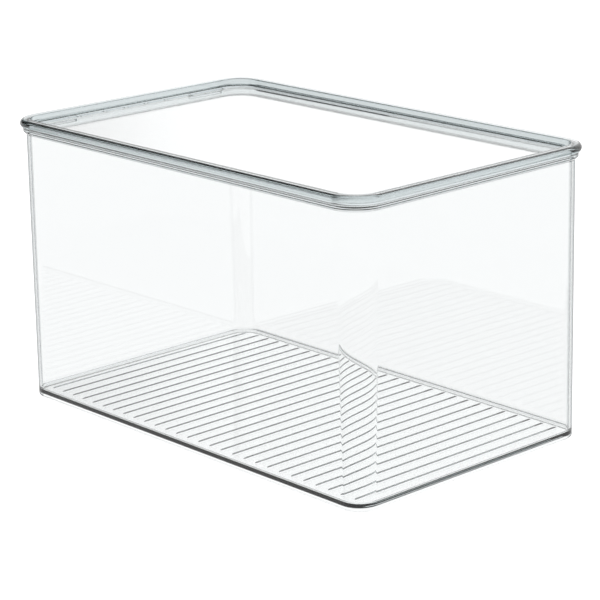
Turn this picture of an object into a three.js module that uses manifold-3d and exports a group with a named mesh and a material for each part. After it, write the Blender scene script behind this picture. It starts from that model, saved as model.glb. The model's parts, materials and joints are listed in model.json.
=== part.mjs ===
// Clear shoe box with a hinged lid: a deep bin and a lid that snaps onto a rail moulded in the bin's rim.
// Millimetres. X is the width, Y the length, Z up. The origin is the middle of the underside.
// The hinge is at the +Y end, and the lid is closed.
import * as THREE from 'three';
import { mergeVertices } from 'three/addons/utils/BufferGeometryUtils.js';
import Module from 'manifold-3d';

// ---- Bin ----
const BIN_LENGTH = 330;        // outside of the walls, just under the rim
const BIN_WIDTH = 202.4;
const RIM_TOP = 189;
const DRAFT = 0.8;             // how far each wall leans in from the rim to the floor
const RIM_CORNER = 18.5;       // outer corner radius under the rim
const BASE_CORNER = 14.2;      // outer corner radius at the floor
const WALL = 2;
const FOOT_HEIGHT = 2.5;       // a foot runs round the base, and the floor is raised on it
const FOOT_WIDTH = 2.6;
const FOOT_FILLET = 1.8;       // outer edge of the foot
const FLOOR = 2.3;             // thickness
const FLOOR_FILLET = 2;
const LIP_HEIGHT = 2;          // upright top of the rim
const LIP_OVERHANG = 2;        // how far the rim steps out from the wall, at 45 degrees
const LIP_EDGE = 0.5;
const LIP_INSIDE = 2;          // depth of the upright inner face of the rim

// ---- Ribs on the floor, across the width ----
const RIB_COUNT = 28;
const RIB_PITCH = 11.1;
const RIB_LENGTH = 181;
const RIB_WIDTH = 1.8;
const RIB_HEIGHT = 0.6;

// ---- Lid ----
const LID_TOP = 195.2;
const LID_OVERHANG = 4;        // from the wall under the rim out to the bead's outer face
const BEAD_BOTTOM = 189.4;
const BEAD_RADIUS = 2.9;       // the bead is solid, and its outer face is half round
const RECESS_INSET = 7;        // from the bead's outer face in to the recess
const RECESS_WALL = 1.8;
const RECESS_FILLET = 1;
const PANEL_TOP = 188.75;
const PANEL_BOTTOM = 186.85;

// ---- Hinge ----
const HINGE_Y = 165.7;
const HINGE_Z = 187.6;
const RAIL_RADIUS = 1.4;
const SNAP_RADIUS = 1.8;       // inner radius of the lid's saddle and hooks
const HOOK_RADIUS = 3.7;       // outer radius of the hooks
const RAIL_HALF = 82;          // the rail takes the place of the lip out to here
const SADDLE_HALF = 51;        // the saddle runs across the middle
const HOOK_OUTER = 80.5;       // each hook runs from SADDLE_HALF out to here
const HOOK_END_DEG = 285;
const SIDE_GAP = 0.4;
const LIP_CUT = 2.5;           // the lip is cleared this far in front of the rail's axis
const WINDOW_CUT = 5;          // and the wall this far, where the hooks swing
const SLOT_DEPTH = 2.4;        // the slots in the panel, front to back
const SLOT_BRIDGES = [9.1, 27.3];
const BRIDGE_WIDTH = 2.4;

const FLOOR_TOP = FOOT_HEIGHT + FLOOR;
const LIP_BOTTOM = RIM_TOP - LIP_HEIGHT;
const FLARE_BOTTOM = LIP_BOTTOM - LIP_OVERHANG;
const BITE = 0.4;              // how far joined shapes run into each other
const PAST = 1;                // how far a cut runs past the faces that it opens

const CORNER_STEPS = 8;
const BEAD_STEPS = 10;
const BIG_FILLET_STEPS = 4;
const SMALL_FILLET_STEPS = 2;
const PIN_STEPS = 20;

const wasm = await Module();
wasm.setup();

const clearPlastic = new THREE.MeshStandardMaterial({
  color: 0xe9f1f1, roughness: 0.05, metalness: 0, transparent: true, opacity: 0.3,
});

// A rounded rectangle, counter-clockwise from above, as points at one height.
function roundedRing(halfX, halfY, radius, z) {
  const points = [];
  const corners = [[1, 1], [-1, 1], [-1, -1], [1, -1]];
  corners.forEach(([sideX, sideY], corner) => {
    for (let step = 0; step <= CORNER_STEPS; step++) {
      const angle = (corner + step / CORNER_STEPS) * Math.PI / 2;
      points.push(new THREE.Vector3(
        sideX * (halfX - radius) + radius * Math.cos(angle),
        sideY * (halfY - radius) + radius * Math.sin(angle),
        z,
      ));
    }
  });
  return points;
}

// A closed solid from a run of rings, capped with a fan at its first and last ring.
function loft(rings) {
  const positions = [];
  const indices = [];
  const count = rings[0].length;
  rings.forEach((ring) => ring.forEach((p) => positions.push(p.x, p.y, p.z)));
  for (let level = 0; level + 1 < rings.length; level++) {
    for (let i = 0; i < count; i++) {
      const a = level * count + i;
      const b = level * count + (i + 1) % count;
      indices.push(a, b, b + count, a, b + count, a + count);
    }
  }
  const firstMiddle = positions.length / 3;
  positions.push(0, 0, rings[0][0].z);
  const lastMiddle = firstMiddle + 1;
  positions.push(0, 0, rings.at(-1)[0].z);
  const lastStart = (rings.length - 1) * count;
  for (let i = 0; i < count; i++) {
    const next = (i + 1) % count;
    indices.push(firstMiddle, next, i);
    indices.push(lastMiddle, lastStart + i, lastStart + next);
  }
  const geometry = new THREE.BufferGeometry();
  geometry.setAttribute('position', new THREE.Float32BufferAttribute(positions, 3));
  geometry.setIndex(indices);
  return geometry;
}

// Points of an arc as [outward, z], where outward is measured from the wall under the rim.
function arc(outward, z, radius, startDeg, endDeg, steps) {
  const points = [];
  for (let step = 0; step <= steps; step++) {
    const angle = THREE.MathUtils.degToRad(startDeg + (endDeg - startDeg) * step / steps);
    points.push([outward + radius * Math.cos(angle), z + radius * Math.sin(angle)]);
  }
  return points;
}

// The bin's outer wall at a height: it leans in and its corners tighten towards the floor.
function binRing(outward, z) {
  const down = Math.max(0, 1 - z / FLARE_BOTTOM);
  const corner = RIM_CORNER + (BASE_CORNER - RIM_CORNER) * down;
  return roundedRing(
    BIN_WIDTH / 2 - DRAFT * down + outward,
    BIN_LENGTH / 2 - DRAFT * down + outward,
    corner + outward,
    z,
  );
}

function lidRing(outward, z) {
  return roundedRing(BIN_WIDTH / 2 + outward, BIN_LENGTH / 2 + outward, RIM_CORNER + outward, z);
}

// The manifold solid of a three.js geometry.
function solid(geometry) {
  const plain = geometry.clone();
  plain.deleteAttribute('normal');
  plain.deleteAttribute('uv');
  const merged = mergeVertices(plain, 1e-4);
  return new wasm.Manifold(new wasm.Mesh({
    numProp: 3,
    vertProperties: new Float32Array(merged.attributes.position.array),
    triVerts: new Uint32Array(merged.index.array),
  }));
}

function meshOf(name, manifold, material) {
  const result = manifold.getMesh();
  const geometry = new THREE.BufferGeometry();
  geometry.setAttribute('position', new THREE.BufferAttribute(result.vertProperties, 3));
  geometry.setIndex(new THREE.BufferAttribute(result.triVerts, 1));
  geometry.computeVertexNormals();
  const mesh = new THREE.Mesh(geometry, material);
  mesh.name = name;
  return mesh;
}

// A box from its limits.
function block(x0, x1, y0, y1, z0, z1) {
  const geometry = new THREE.BoxGeometry(x1 - x0, y1 - y0, z1 - z0);
  geometry.translate((x0 + x1) / 2, (y0 + y1) / 2, (z0 + z1) / 2);
  return solid(geometry);
}

// An outline in Y and Z, extruded along X.
function alongX(outline, x0, x1) {
  const shape = new THREE.Shape(outline.map(([y, z]) => new THREE.Vector2(y, z)));
  const geometry = new THREE.ExtrudeGeometry(shape, { depth: x1 - x0, bevelEnabled: false });
  const axes = new THREE.Matrix4().makeBasis(
    new THREE.Vector3(0, 1, 0), new THREE.Vector3(0, 0, 1), new THREE.Vector3(1, 0, 0),
  );
  geometry.applyMatrix4(axes);
  geometry.translate(x0, 0, 0);
  return solid(geometry);
}

function hingeArc(radius, startDeg, endDeg, steps) {
  return arc(HINGE_Y, HINGE_Z, radius, startDeg, endDeg, steps);
}

function binShell() {
  const lipInner = LIP_OVERHANG - WALL;
  const ledgeTop = RIM_TOP - LIP_INSIDE;
  const profile = [
    [-FOOT_WIDTH, FOOT_HEIGHT],
    [-FOOT_WIDTH, 0],
    ...arc(-FOOT_FILLET, FOOT_FILLET, FOOT_FILLET, -90, 0, BIG_FILLET_STEPS),
    [0, FLARE_BOTTOM],
    [LIP_OVERHANG, LIP_BOTTOM],
    [LIP_OVERHANG, RIM_TOP - LIP_EDGE],
    [LIP_OVERHANG - LIP_EDGE, RIM_TOP],
    [lipInner + LIP_EDGE, RIM_TOP],
    [lipInner, RIM_TOP - LIP_EDGE],
    [lipInner, ledgeTop],
    [-WALL, ledgeTop - LIP_OVERHANG],
    ...arc(-WALL - FLOOR_FILLET, FLOOR_TOP + FLOOR_FILLET, FLOOR_FILLET, 0, -90, BIG_FILLET_STEPS),
  ];
  return solid(loft(profile.map(([outward, z]) => binRing(outward, z))));
}

function floorRibs() {
  const ribs = [];
  const crest = RIB_WIDTH / 4;
  for (let i = 0; i < RIB_COUNT; i++) {
    const y = (i - (RIB_COUNT - 1) / 2) * RIB_PITCH;
    const outline = [
      [y - RIB_WIDTH / 2, FLOOR_TOP - BITE],
      [y + RIB_WIDTH / 2, FLOOR_TOP - BITE],
      [y + RIB_WIDTH / 2, FLOOR_TOP],
      [y + crest, FLOOR_TOP + RIB_HEIGHT],
      [y - crest, FLOOR_TOP + RIB_HEIGHT],
      [y - RIB_WIDTH / 2, FLOOR_TOP],
    ];
    ribs.push(alongX(outline, -RIB_LENGTH / 2, RIB_LENGTH / 2));
  }
  return ribs;
}

// Opens the rear rim from a depth and a height upwards, between two places along it.
function rimCut(x0, x1, depth, bottom) {
  const outside = BIN_LENGTH / 2 + LIP_OVERHANG + PAST;
  return block(Math.min(x0, x1), Math.max(x0, x1), HINGE_Y - depth, outside, bottom, RIM_TOP + PAST);
}

// The bin's rear rim gives way to the round rail that the lid turns on, with a window for each hook.
function makeBin() {
  const railEnd = RAIL_HALF + PAST;
  const hookRoom = HINGE_Z - HOOK_RADIUS - SIDE_GAP;
  let bin = binShell();
  floorRibs().forEach((rib) => { bin = bin.add(rib); });
  bin = bin.subtract(rimCut(-RAIL_HALF, RAIL_HALF, LIP_CUT, LIP_BOTTOM));
  [-1, 1].forEach((side) => {
    const inner = side * (SADDLE_HALF - SIDE_GAP);
    const outer = side * (HOOK_OUTER + SIDE_GAP);
    bin = bin.subtract(rimCut(inner, outer, WINDOW_CUT, hookRoom));
  });
  const section = hingeArc(RAIL_RADIUS, 0, 360 - 360 / PIN_STEPS, PIN_STEPS - 1);
  return bin.add(alongX(section, -railEnd, railEnd));
}

function lidShell() {
  const recess = LID_OVERHANG - RECESS_INSET;
  const beadMiddle = LID_OVERHANG - BEAD_RADIUS;
  const tubOuter = recess + RECESS_WALL;
  const profile = [
    ...arc(tubOuter - RECESS_FILLET, PANEL_BOTTOM + RECESS_FILLET, RECESS_FILLET, -90, 0, SMALL_FILLET_STEPS),
    [tubOuter, BEAD_BOTTOM],
    ...arc(beadMiddle, BEAD_BOTTOM + BEAD_RADIUS, BEAD_RADIUS, -90, 90, BEAD_STEPS),
    ...arc(recess + RECESS_FILLET, LID_TOP - RECESS_FILLET, RECESS_FILLET, 90, 180, SMALL_FILLET_STEPS),
    ...arc(recess - RECESS_FILLET, PANEL_TOP + RECESS_FILLET, RECESS_FILLET, 0, -90, SMALL_FILLET_STEPS),
  ];
  return solid(loft(profile.map(([outward, z]) => lidRing(outward, z))));
}

// Slots through the panel at the foot of the rear step: five over the saddle and one over each hook.
function panelSlots() {
  const rear = BIN_LENGTH / 2 + LID_OVERHANG - RECESS_INSET;
  const half = BRIDGE_WIDTH / 2;
  const [near, far] = SLOT_BRIDGES;
  const spans = [
    [-near + half, near - half],
    [near + half, far - half],
    [far + half, SADDLE_HALF - BRIDGE_WIDTH],
    [SADDLE_HALF, HOOK_OUTER],
  ];
  const slots = [];
  spans.forEach(([x0, x1], index) => {
    slots.push([x0, x1]);
    if (index > 0) slots.push([-x1, -x0]);
  });
  const foot = PANEL_BOTTOM - PAST;
  return slots.map(([x0, x1]) => block(x0, x1, rear - SLOT_DEPTH, rear, foot, PANEL_TOP + RECESS_FILLET));
}

// The saddle hangs from the middle of the bead and cups the rail from above.
function saddle() {
  const tubOuter = BIN_LENGTH / 2 + LID_OVERHANG - RECESS_INSET + RECESS_WALL;
  const outline = [
    [HINGE_Y, BEAD_BOTTOM + BITE],
    [tubOuter - BITE, BEAD_BOTTOM + BITE],
    [tubOuter - BITE, HINGE_Z],
    ...hingeArc(SNAP_RADIUS, 180, 90, 6),
  ];
  return alongX(outline, -SADDLE_HALF, SADDLE_HALF);
}

// A hook hangs from the foot of the rear step and curls under the rail.
function hook(side) {
  const rear = BIN_LENGTH / 2 + LID_OVERHANG - RECESS_INSET;
  const outline = [
    [rear + RECESS_WALL, PANEL_TOP],
    [rear, PANEL_TOP],
    ...hingeArc(HOOK_RADIUS, 180, HOOK_END_DEG, 8),
    ...hingeArc(SNAP_RADIUS, HOOK_END_DEG, 180, 7),
  ];
  const inner = side * SADDLE_HALF;
  const outer = side * HOOK_OUTER;
  return alongX(outline, Math.min(inner, outer), Math.max(inner, outer));
}

function makeLid() {
  let lid = lidShell();
  panelSlots().forEach((slot) => { lid = lid.subtract(slot); });
  return lid.add(saddle()).add(hook(-1)).add(hook(1));
}

const shoeBox = new THREE.Group();
shoeBox.add(meshOf('bin', makeBin(), clearPlastic));
shoeBox.add(meshOf('lid', makeLid(), clearPlastic.clone()));

export default shoeBox;
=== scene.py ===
"""A clear plastic shoe box: a deep bin and a hinged lid, each a fine mesh that stands for its CAD node.

Metres, +Z up. The hinge is at the +Y end, and the lid is closed at rest.
"""

import json
import math

import bmesh
import bpy
from mathutils import Matrix, Vector


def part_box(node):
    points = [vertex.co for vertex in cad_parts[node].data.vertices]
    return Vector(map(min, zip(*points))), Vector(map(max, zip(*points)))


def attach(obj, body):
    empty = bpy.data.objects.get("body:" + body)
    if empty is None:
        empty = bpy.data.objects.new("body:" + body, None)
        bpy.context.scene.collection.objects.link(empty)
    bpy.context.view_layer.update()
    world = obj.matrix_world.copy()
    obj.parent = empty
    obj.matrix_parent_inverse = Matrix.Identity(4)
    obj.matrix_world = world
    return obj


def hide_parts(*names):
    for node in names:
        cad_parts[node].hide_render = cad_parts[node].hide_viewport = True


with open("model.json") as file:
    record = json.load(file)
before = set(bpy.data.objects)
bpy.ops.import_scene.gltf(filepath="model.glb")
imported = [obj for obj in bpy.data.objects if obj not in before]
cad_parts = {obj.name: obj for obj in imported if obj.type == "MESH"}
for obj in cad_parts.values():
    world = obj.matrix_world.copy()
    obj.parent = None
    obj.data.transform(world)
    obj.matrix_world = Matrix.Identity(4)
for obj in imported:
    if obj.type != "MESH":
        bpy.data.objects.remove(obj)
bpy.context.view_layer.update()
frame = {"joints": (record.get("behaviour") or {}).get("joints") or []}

MM = 0.001
BIN_LOW, BIN_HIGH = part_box("bin")
LID_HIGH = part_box("lid")[1]
HINGE = frame["joints"][0]["pos_m"]

# ---- Bin ----
LIP_OVERHANG = 2 * MM
WALL_X = BIN_HIGH.x - LIP_OVERHANG          # half of the width outside the walls, under the rim
WALL_Y = -BIN_LOW.y - LIP_OVERHANG
RIM_TOP = BIN_HIGH.z
DRAFT = 0.8 * MM
RIM_CORNER = 18.5 * MM
BASE_CORNER = 14.2 * MM
WALL = 2 * MM
FOOT_HEIGHT = 2.5 * MM                      # a foot runs round the base, and the floor is raised on it
FOOT_WIDTH = 2.6 * MM
FOOT_FILLET = 1.8 * MM
FOOT_EDGE = 0.3 * MM
FOOT_ROOT = 0.5 * MM
FLOOR_TOP = FOOT_HEIGHT + 2.3 * MM
FLOOR_FILLET = 2 * MM
LIP_HEIGHT = 2 * MM
LIP_INSIDE = 2 * MM
LIP_EDGE = 0.5 * MM
FLARE_FOOT = RIM_TOP - LIP_HEIGHT - LIP_OVERHANG

# ---- Ribs on the floor ----
RIB_COUNT = 28
RIB_PITCH = 11.1 * MM
RIB_HALF_LENGTH = 90.5 * MM
RIB_WIDTH = 1.8 * MM
RIB_HEIGHT = 0.6 * MM
RIB_STEPS = 10                              # across a rib
RIB_END_STEPS = 6

# ---- Lid ----
LID_TOP = LID_HIGH.z
LID_OVERHANG = LID_HIGH.x - WALL_X
BEAD_BOTTOM = RIM_TOP + 0.4 * MM
BEAD_RADIUS = (LID_TOP - BEAD_BOTTOM) / 2    # the bead is solid, and its outer face is half round
BEAD_ROOT = 0.6 * MM
RECESS_INSET = 7 * MM
RECESS_WALL = 1.8 * MM
RECESS_FILLET = 1 * MM
RECESS_EDGE = 0.35 * MM                     # at the top of the recess
PANEL_TOP = RIM_TOP - 0.25 * MM
PANEL_BOTTOM = PANEL_TOP - 1.9 * MM

# ---- Hinge ----
HINGE_Y, HINGE_Z = HINGE[1], HINGE[2]
RAIL_RADIUS = 1.4 * MM
SNAP_RADIUS = 1.8 * MM
HOOK_RADIUS = 3.7 * MM
RAIL_HALF = 82 * MM
SADDLE_HALF = 51 * MM
HOOK_OUTER = 80.5 * MM
HOOK_END = 285
SIDE_GAP = 0.4 * MM
SLOT_DEPTH = 2.4 * MM
SLOT_BRIDGES = (9.1 * MM, 27.3 * MM)
BRIDGE_WIDTH = 2.4 * MM
RIM_CUT_DEPTH = 2.5 * MM                    # inwards from the hinge line
WINDOW_DEPTH = 5 * MM
OUTWARDS = 3 * MM                           # how far a cut runs out past the hinge line
PAST = 1 * MM                               # how far a cut or the rail's end runs past a face
SLIVER = 0.1 * MM
BITE = 0.4 * MM                             # how far joined shapes run into each other

# ---- Mesh fineness ----
CORNER_STEPS = 28
FILLET_STEPS = 8
BEAD_STEPS = 24
PIN_STEPS = 48
SMOOTH_ANGLE = math.radians(32)

# ---- Camera ----
CAMERA_YAW = -42.403
CAMERA_PITCH = 16.436
CAMERA_ROLL = -1.071
CAMERA_DISTANCE = 1.513139
CAMERA_LENS = 136.98
AIM_HEIGHT = 0.09
AIM_RIGHT, AIM_UP = 0.003569, -0.010122

# ---- Plastic ----
GRAZING = (0.5, 0.76)                        # 0 is seen square on, 1 is edge on
IOR = 1.57
DEPTH_COLOUR = (0.47, 0.56, 0.57, 1)
DEPTH_DENSITY = 45                          # per metre
# painted shade: the colour that upright faces darken to when seen edge on
GRAZING_PAINTED_SHADE = (0.05, 0.07, 0.08, 1)
UPRIGHT = (0.3, 0.6)                        # the slope at which a face stops being upright
LEVEL = (0.9, 0.99)                         # the slope at which a face starts to be level
# painted shade: darkens the sloping faces of the bead and the rim
RIM_PAINTED_SHADE = (0.76, 0.8, 0.81, 1)             # on the bead and the rim, chosen
WAVE_SCALE = 9                              # per metre
WAVE_DEPTH = 0.02 * MM

# ---- Studio. Heights are the sine of the elevation ----
CARD_AZIMUTH = -15
CARD_EDGE = (0.26, 0.44)                    # cosine of the angle from the card's middle
CARD_LIGHT = 1.25
DARK_SIDE = 0.04
CEILING = (0.7, 0.95)
CEILING_LIGHT = 0.5
LOW_LIGHT = 1.06                            # everything below the horizon
HORIZON = (0.12, 0.24)
FLOOR_DROP = 0.5 * MM
FLOOR_HALF = 8


def add_camera():
    """The camera looks down on the near corner, a little rolled."""
    yaw, pitch, roll = (math.radians(a) for a in (CAMERA_YAW, CAMERA_PITCH, CAMERA_ROLL))
    back = Vector((math.sin(yaw) * math.cos(pitch), -math.cos(yaw) * math.cos(pitch), math.sin(pitch)))
    right = Vector((math.cos(yaw), math.sin(yaw), 0))
    up = back.cross(right)
    aim = Vector((0, 0, AIM_HEIGHT)) + right * AIM_RIGHT + up * AIM_UP
    turned_right = right * math.cos(roll) + up * math.sin(roll)
    turned_up = up * math.cos(roll) - right * math.sin(roll)
    data = bpy.data.cameras.new("camera")
    data.lens = CAMERA_LENS
    data.sensor_width = 36
    data.clip_end = 100
    camera = bpy.data.objects.new("camera", data)
    turn = Matrix((turned_right, turned_up, back)).transposed().to_4x4()
    camera.matrix_world = Matrix.Translation(aim + back * CAMERA_DISTANCE) @ turn
    bpy.context.scene.collection.objects.link(camera)
    bpy.context.scene.camera = camera


# ---- Shapes ----
def arc(outward, z, radius, start, end, steps=FILLET_STEPS):
    """Points (outward, z) round an arc, from start to end in degrees."""
    points = []
    for step in range(steps + 1):
        angle = math.radians(start + (end - start) * step / steps)
        points.append((outward + radius * math.cos(angle), z + radius * math.sin(angle)))
    return points


def rounded_ring(half_x, half_y, radius, z):
    """A rounded rectangle at one height, counter-clockwise from above."""
    points = []
    for corner, (side_x, side_y) in enumerate(((1, 1), (-1, 1), (-1, -1), (1, -1))):
        for step in range(CORNER_STEPS + 1):
            angle = (corner + step / CORNER_STEPS) * math.pi / 2
            x = side_x * (half_x - radius) + radius * math.cos(angle)
            y = side_y * (half_y - radius) + radius * math.sin(angle)
            points.append(Vector((x, y, z)))
    return points


def bin_ring(outward, z):
    """The bin's outline: it leans in and its corners tighten towards the floor."""
    down = max(0, 1 - z / FLARE_FOOT)
    lean = outward - DRAFT * down
    corner = RIM_CORNER + (BASE_CORNER - RIM_CORNER) * down
    return rounded_ring(WALL_X + lean, WALL_Y + lean, corner + outward, z)


def lid_ring(outward, z):
    return rounded_ring(WALL_X + outward, WALL_Y + outward, RIM_CORNER + outward, z)


def loft(bm, rings):
    """Joins the rings in order. The first and last rings are returned, open."""
    loops = [[bm.verts.new(point) for point in ring] for ring in rings]
    for low, high in zip(loops, loops[1:]):
        for i, vert in enumerate(low):
            after = (i + 1) % len(low)
            bm.faces.new((vert, low[after], high[after], high[i]))
    return loops[0], loops[-1]


def along_x(outline, x0, x1):
    """A solid from an outline in Y and Z."""
    bm = bmesh.new()
    ends = [[bm.verts.new((x, y, z)) for y, z in outline] for x in (x0, x1)]
    for i in range(len(outline)):
        after = (i + 1) % len(outline)
        bm.faces.new((ends[0][i], ends[0][after], ends[1][after], ends[1][i]))
    bm.faces.new(ends[0])
    bm.faces.new(ends[1])
    return closed(bm)


def block(x0, x1, y0, y1, z0, z1):
    return along_x([(y0, z0), (y1, z0), (y1, z1), (y0, z1)], x0, x1)


def closed(bm):
    """The mesh of a closed shape, with its faces turned outwards."""
    bmesh.ops.recalc_face_normals(bm, faces=bm.faces)
    mesh = bpy.data.meshes.new("shape")
    bm.to_mesh(mesh)
    bm.free()
    return mesh


def combine(base, tool, operation):
    """base with tool joined to it or cut out of it. Both meshes are used up."""
    objects = [bpy.data.objects.new("operand", mesh) for mesh in (base, tool)]
    for item in objects:
        bpy.context.scene.collection.objects.link(item)
    modifier = objects[0].modifiers.new("combine", "BOOLEAN")
    modifier.operation = operation
    modifier.solver = "EXACT"
    modifier.object = objects[1]
    bpy.context.view_layer.update()
    evaluated = objects[0].evaluated_get(bpy.context.evaluated_depsgraph_get())
    result = bpy.data.meshes.new_from_object(evaluated)
    for item in objects:
        bpy.data.objects.remove(item)
    for mesh in (base, tool):
        bpy.data.meshes.remove(mesh)
    return result


def hinge_arc(radius, start, end, steps=PIN_STEPS // 4):
    return arc(HINGE_Y, HINGE_Z, radius, start, end, steps)


def rib_height(x, y):
    """How high the floor rises at a point: rounded ribs across the width."""
    place = y / RIB_PITCH + (RIB_COUNT - 1) / 2
    off = abs(place - round(place)) * RIB_PITCH / (RIB_WIDTH / 2)
    if off >= 1:
        return 0
    end = (RIB_HALF_LENGTH - abs(x)) / RIB_WIDTH
    fade = math.sin(min(1, max(0, end)) * math.pi / 2)
    return RIB_HEIGHT * math.cos(off * math.pi / 2) ** 2 * fade


def ribbed_floor(bm, border):
    """Closes the floor's border ring with a flat face around a grid that carries the ribs."""
    ends = [RIB_HALF_LENGTH - RIB_WIDTH * part / RIB_END_STEPS for part in range(RIB_END_STEPS + 1)]
    across = [-x for x in ends] + ends[::-1]
    along = []
    for rib in range(RIB_COUNT):
        middle = (rib - (RIB_COUNT - 1) / 2) * RIB_PITCH
        along += [middle + RIB_WIDTH * (step / RIB_STEPS - 0.5) for step in range(RIB_STEPS + 1)]
    grid = [[bm.verts.new((x, y, FLOOR_TOP + rib_height(x, y))) for y in along] for x in across]
    for near, far in zip(grid, grid[1:]):
        for i in range(len(along) - 1):
            bm.faces.new((near[i], far[i], far[i + 1], near[i + 1]))
    edge = [row[0] for row in grid] + grid[-1][1:] + [row[-1] for row in grid[-2::-1]] + grid[0][-2:0:-1]
    edges = [bm.edges.get((a, edge[(i + 1) % len(edge)])) for i, a in enumerate(edge)]
    edges += [bm.edges.get((a, border[(i + 1) % len(border)])) for i, a in enumerate(border)]
    bmesh.ops.triangle_fill(bm, use_beauty=True, edges=edges, normal=(0, 0, 1))


def bin_shell():
    lip_bottom = RIM_TOP - LIP_HEIGHT
    lip_inner = LIP_OVERHANG - WALL
    ledge_top = RIM_TOP - LIP_INSIDE
    profile = [
        *arc(-FOOT_WIDTH - FOOT_ROOT, FOOT_HEIGHT - FOOT_ROOT, FOOT_ROOT, 90, 0, 4),
        *arc(-FOOT_WIDTH + FOOT_EDGE, FOOT_EDGE, FOOT_EDGE, 180, 270, 4),
        *arc(-FOOT_FILLET, FOOT_FILLET, FOOT_FILLET, -90, 0),
        (0, FLARE_FOOT),
        (LIP_OVERHANG, lip_bottom),
        *arc(LIP_OVERHANG - LIP_EDGE, RIM_TOP - LIP_EDGE, LIP_EDGE, 0, 90, 5),
        *arc(lip_inner + LIP_EDGE, RIM_TOP - LIP_EDGE, LIP_EDGE, 90, 180, 5),
        (lip_inner, ledge_top),
        (-WALL, ledge_top - LIP_OVERHANG),
        *arc(-WALL - FLOOR_FILLET, FLOOR_TOP + FLOOR_FILLET, FLOOR_FILLET, 0, -90),
    ]
    bm = bmesh.new()
    underside, floor = loft(bm, [bin_ring(outward, z) for outward, z in profile])
    bm.faces.new(underside)
    ribbed_floor(bm, floor)
    return closed(bm)


def make_bin():
    """The bin: its rim gives way at the rear to the round rail that the lid turns on."""
    lip_bottom = RIM_TOP - LIP_HEIGHT
    above = RIM_TOP + PAST
    outside = HINGE_Y + OUTWARDS
    shape = bin_shell()
    cut = block(-RAIL_HALF, RAIL_HALF, HINGE_Y - RIM_CUT_DEPTH, outside, lip_bottom - SLIVER, above)
    shape = combine(shape, cut, "DIFFERENCE")
    window_foot = HINGE_Z - HOOK_RADIUS - SIDE_GAP
    for side in (-1, 1):
        x0, x1 = sorted((side * (SADDLE_HALF - SIDE_GAP), side * (HOOK_OUTER + SIDE_GAP)))
        window = block(x0, x1, HINGE_Y - WINDOW_DEPTH, outside, window_foot, above)
        shape = combine(shape, window, "DIFFERENCE")
    step = 360 / PIN_STEPS
    outline = hinge_arc(RAIL_RADIUS, 0, 360 - step, PIN_STEPS - 1)
    rail = along_x(outline, -RAIL_HALF - PAST, RAIL_HALF + PAST)
    return combine(shape, rail, "UNION")


def lid_shell():
    recess = LID_OVERHANG - RECESS_INSET
    tub_outer = recess + RECESS_WALL
    middle = LID_OVERHANG - BEAD_RADIUS
    profile = [
        *arc(tub_outer - RECESS_FILLET, PANEL_BOTTOM + RECESS_FILLET, RECESS_FILLET, -90, 0),
        *arc(tub_outer + BEAD_ROOT, BEAD_BOTTOM - BEAD_ROOT, BEAD_ROOT, 180, 90, 4),
        *arc(middle, BEAD_BOTTOM + BEAD_RADIUS, BEAD_RADIUS, -90, 90, BEAD_STEPS),
        *arc(recess + RECESS_EDGE, LID_TOP - RECESS_EDGE, RECESS_EDGE, 90, 180, 5),
        *arc(recess - RECESS_FILLET, PANEL_TOP + RECESS_FILLET, RECESS_FILLET, 0, -90),
    ]
    bm = bmesh.new()
    underside, panel = loft(bm, [lid_ring(outward, z) for outward, z in profile])
    bm.faces.new(underside)
    bm.faces.new(panel)
    return closed(bm)


def panel_slots():
    """Slots at the foot of the rear step, as (x0, x1): five over the saddle, two over the hooks."""
    half = BRIDGE_WIDTH / 2
    near, far = SLOT_BRIDGES
    over_saddle = [(near + half, far - half), (far + half, SADDLE_HALF - BRIDGE_WIDTH)]
    one_side = [*over_saddle, (SADDLE_HALF, HOOK_OUTER)]
    return [(-near + half, near - half)] + one_side + [(-x1, -x0) for x0, x1 in one_side]


def make_lid():
    """The lid: a bead round a recessed panel, with the saddle and two hooks that hold the rail."""
    rear = WALL_Y + LID_OVERHANG - RECESS_INSET
    shape = lid_shell()
    for x0, x1 in panel_slots():
        cut = block(x0, x1, rear - SLOT_DEPTH, rear, PANEL_BOTTOM - PAST, PANEL_TOP + RECESS_FILLET)
        shape = combine(shape, cut, "DIFFERENCE")
    tub_outer = rear + RECESS_WALL
    saddle = [
        (HINGE_Y, BEAD_BOTTOM + BITE),
        (tub_outer - BITE, BEAD_BOTTOM + BITE),
        (tub_outer - BITE, HINGE_Z),
        *hinge_arc(SNAP_RADIUS, 180, 90),
    ]
    shape = combine(shape, along_x(saddle, -SADDLE_HALF, SADDLE_HALF), "UNION")
    hook = [
        (tub_outer, PANEL_TOP),
        (rear, PANEL_TOP),
        *hinge_arc(HOOK_RADIUS, 180, HOOK_END),
        *hinge_arc(SNAP_RADIUS, HOOK_END, 180),
    ]
    for side in (-1, 1):
        x0, x1 = sorted((side * SADDLE_HALF, side * HOOK_OUTER))
        shape = combine(shape, along_x(hook, x0, x1), "UNION")
    return shape


def add_piece(name, mesh, material, body, node):
    """A finished piece that rides on its body and stands for its CAD node."""
    bm = bmesh.new()
    bm.from_mesh(mesh)
    bmesh.ops.remove_doubles(bm, verts=bm.verts, dist=1e-6)
    for face in bm.faces:
        face.smooth = True
    for edge in bm.edges:
        edge.smooth = len(edge.link_faces) != 2 or edge.calc_face_angle() < SMOOTH_ANGLE
    bm.to_mesh(mesh)
    bm.free()
    mesh.name = name
    piece = bpy.data.objects.new(name, mesh)
    bpy.context.scene.collection.objects.link(piece)
    mesh.materials.clear()
    mesh.materials.append(material)
    normals = piece.modifiers.new("normals", "WEIGHTED_NORMAL")
    normals.keep_sharp = True
    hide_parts(node)
    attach(piece, body)
    return piece


# ---- Looks ----
def plug(links, value, socket):
    """Sets a socket to a number, or joins another node's output to it."""
    if isinstance(value, (int, float)):
        socket.default_value = value
    else:
        links.new(value, socket)


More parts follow.
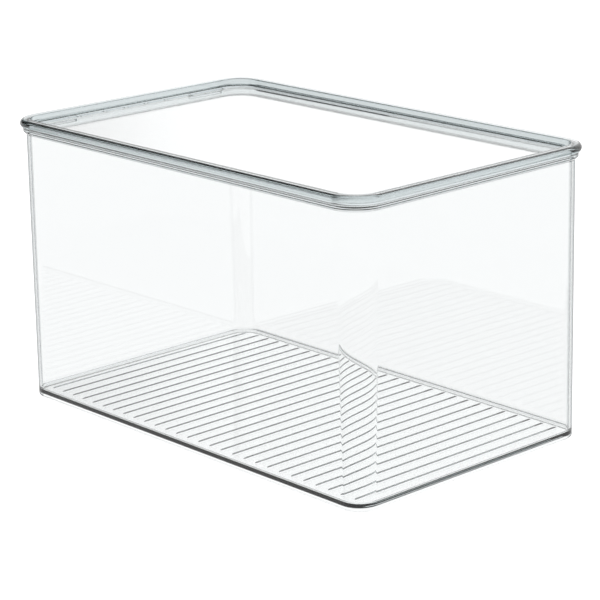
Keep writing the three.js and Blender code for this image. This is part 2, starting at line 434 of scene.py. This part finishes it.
def math_node(tree, operation, *values):
    node = tree.nodes.new("ShaderNodeMath")
    node.operation = operation
    for socket, value in zip(node.inputs, values):
        plug(tree.links, value, socket)
    return node.outputs[0]


def span(tree, value, ends, low=0, high=1, kind="LINEAR"):
    """low before the first end, high after the second."""
    node = tree.nodes.new("ShaderNodeMapRange")
    node.interpolation_type = kind
    tree.links.new(value, node.inputs["Value"])
    node.inputs["From Min"].default_value, node.inputs["From Max"].default_value = ends
    node.inputs["To Min"].default_value = low
    node.inputs["To Max"].default_value = high
    return node.outputs[0]


def height_of(tree, vector):
    node = tree.nodes.new("ShaderNodeSeparateXYZ")
    tree.links.new(vector, node.inputs[0])
    return node.outputs["Z"]


def clear_plastic():
    """Polished clear plastic, faintly tinted through its depth.

    Two stand-ins shape its colour, both painted shade: upright faces are darkened where seen edge on, and
    the sloping faces of the bead and rim are darkened.
    """
    material = bpy.data.materials.new("clear_plastic")
    material.use_nodes = True
    tree = material.node_tree
    nodes, links = tree.nodes, tree.links
    shader = nodes["Principled BSDF"]
    place = nodes.new("ShaderNodeTexCoord")
    slope = math_node(tree, "ABSOLUTE", height_of(tree, place.outputs["Normal"]))

    # Painted shade: the base colour of upright faces darkens as they turn edge on to the view.
    facing = nodes.new("ShaderNodeLayerWeight")
    facing.inputs["Blend"].default_value = 0.5
    upright = span(tree, slope, UPRIGHT, 1, 0)
    grazing = math_node(tree, "MULTIPLY", facing.outputs["Facing"], upright)
    edge_on_painted_shade = nodes.new("ShaderNodeValToRGB")
    for stop, position, colour in zip(edge_on_painted_shade.color_ramp.elements, GRAZING, ((1, 1, 1, 1), GRAZING_PAINTED_SHADE)):
        stop.position = position
        stop.color = colour
    links.new(grazing, edge_on_painted_shade.inputs[0])

    # Painted shade: the sloping faces of the bead and the rim are darkened by a multiplied colour.
    sloping = span(tree, slope, LEVEL, 1, 0)
    rim = span(tree, height_of(tree, place.outputs["Object"]), (FLARE_FOOT - MM, BEAD_BOTTOM))
    rim_painted_shade = nodes.new("ShaderNodeMix")
    rim_painted_shade.data_type = "RGBA"
    rim_painted_shade.blend_type = "MULTIPLY"
    links.new(math_node(tree, "MULTIPLY", sloping, rim), rim_painted_shade.inputs[0])
    links.new(edge_on_painted_shade.outputs["Color"], rim_painted_shade.inputs[6])
    rim_painted_shade.inputs[7].default_value = RIM_PAINTED_SHADE
    links.new(rim_painted_shade.outputs[2], shader.inputs["Base Color"])

    waves = nodes.new("ShaderNodeTexNoise")
    waves.inputs["Scale"].default_value = WAVE_SCALE
    links.new(place.outputs["Object"], waves.inputs["Vector"])
    bump = nodes.new("ShaderNodeBump")
    bump.inputs["Distance"].default_value = WAVE_DEPTH
    links.new(waves.outputs[0], bump.inputs["Height"])
    links.new(bump.outputs[0], shader.inputs["Normal"])

    shader.inputs["Transmission Weight"].default_value = 1
    shader.inputs["IOR"].default_value = IOR
    shader.inputs["Roughness"].default_value = 0
    depth = nodes.new("ShaderNodeVolumeAbsorption")
    depth.inputs["Color"].default_value = DEPTH_COLOUR
    depth.inputs["Density"].default_value = DEPTH_DENSITY
    links.new(depth.outputs["Volume"], nodes["Material Output"].inputs["Volume"])
    return material


def add_floor():
    mesh = bpy.data.meshes.new("floor")
    bm = bmesh.new()
    bmesh.ops.create_grid(bm, x_segments=1, y_segments=1, size=FLOOR_HALF)
    bm.to_mesh(mesh)
    bm.free()
    floor = bpy.data.objects.new("floor", mesh)
    floor.location.z = -FLOOR_DROP
    bpy.context.scene.collection.objects.link(floor)
    material = bpy.data.materials.new("floor")
    material.use_nodes = True
    shader = material.node_tree.nodes["Principled BSDF"]
    shader.inputs["Base Color"].default_value = (0.8, 0.8, 0.8, 1)
    shader.inputs["Roughness"].default_value = 1
    shader.inputs["Emission Color"].default_value = (1, 1, 1, 1)
    shader.inputs["Emission Strength"].default_value = 1
    mesh.materials.append(material)
    floor.visible_transmission = False
    floor.visible_glossy = False


def light_the_studio():
    """White below the horizon. Above it a large bright card on the right, dark on the left, a grey ceiling.

    Through the walls the plastic shows the white. Its round edges bend the view up to the card or the dark.
    """
    world = bpy.data.worlds.new("studio")
    bpy.context.scene.world = world
    world.use_nodes = True
    tree = world.node_tree

    def blend(amount, low, high):
        node = tree.nodes.new("ShaderNodeMix")
        node.data_type = "FLOAT"
        for socket, value in zip((node.inputs[0], node.inputs[2], node.inputs[3]), (amount, low, high)):
            plug(tree.links, value, socket)
        return node.outputs[0]

    split = tree.nodes.new("ShaderNodeSeparateXYZ")
    tree.links.new(tree.nodes.new("ShaderNodeTexCoord").outputs["Generated"], split.inputs[0])
    x, y, z = split.outputs
    card = math.radians(CARD_AZIMUTH)
    along_x_axis = math_node(tree, "MULTIPLY", x, math.cos(card))
    along_y_axis = math_node(tree, "MULTIPLY", y, math.sin(card))
    towards_card = math_node(tree, "ADD", along_x_axis, along_y_axis)
    lit = span(tree, towards_card, CARD_EDGE, kind="SMOOTHSTEP")
    above = blend(lit, DARK_SIDE, CARD_LIGHT)
    above = blend(span(tree, z, CEILING, kind="SMOOTHSTEP"), above, CEILING_LIGHT)
    light = blend(span(tree, z, HORIZON, kind="SMOOTHSTEP"), LOW_LIGHT, above)
    tree.links.new(light, tree.nodes["Background"].inputs["Color"])
    bpy.context.scene.view_settings.view_transform = "Standard"


add_camera()
light_the_studio()
add_floor()
plastic = clear_plastic()
add_piece("shoe_box_bin", make_bin(), plastic, "bin", "bin")
add_piece("shoe_box_lid", make_lid(), plastic, "lid", "lid")
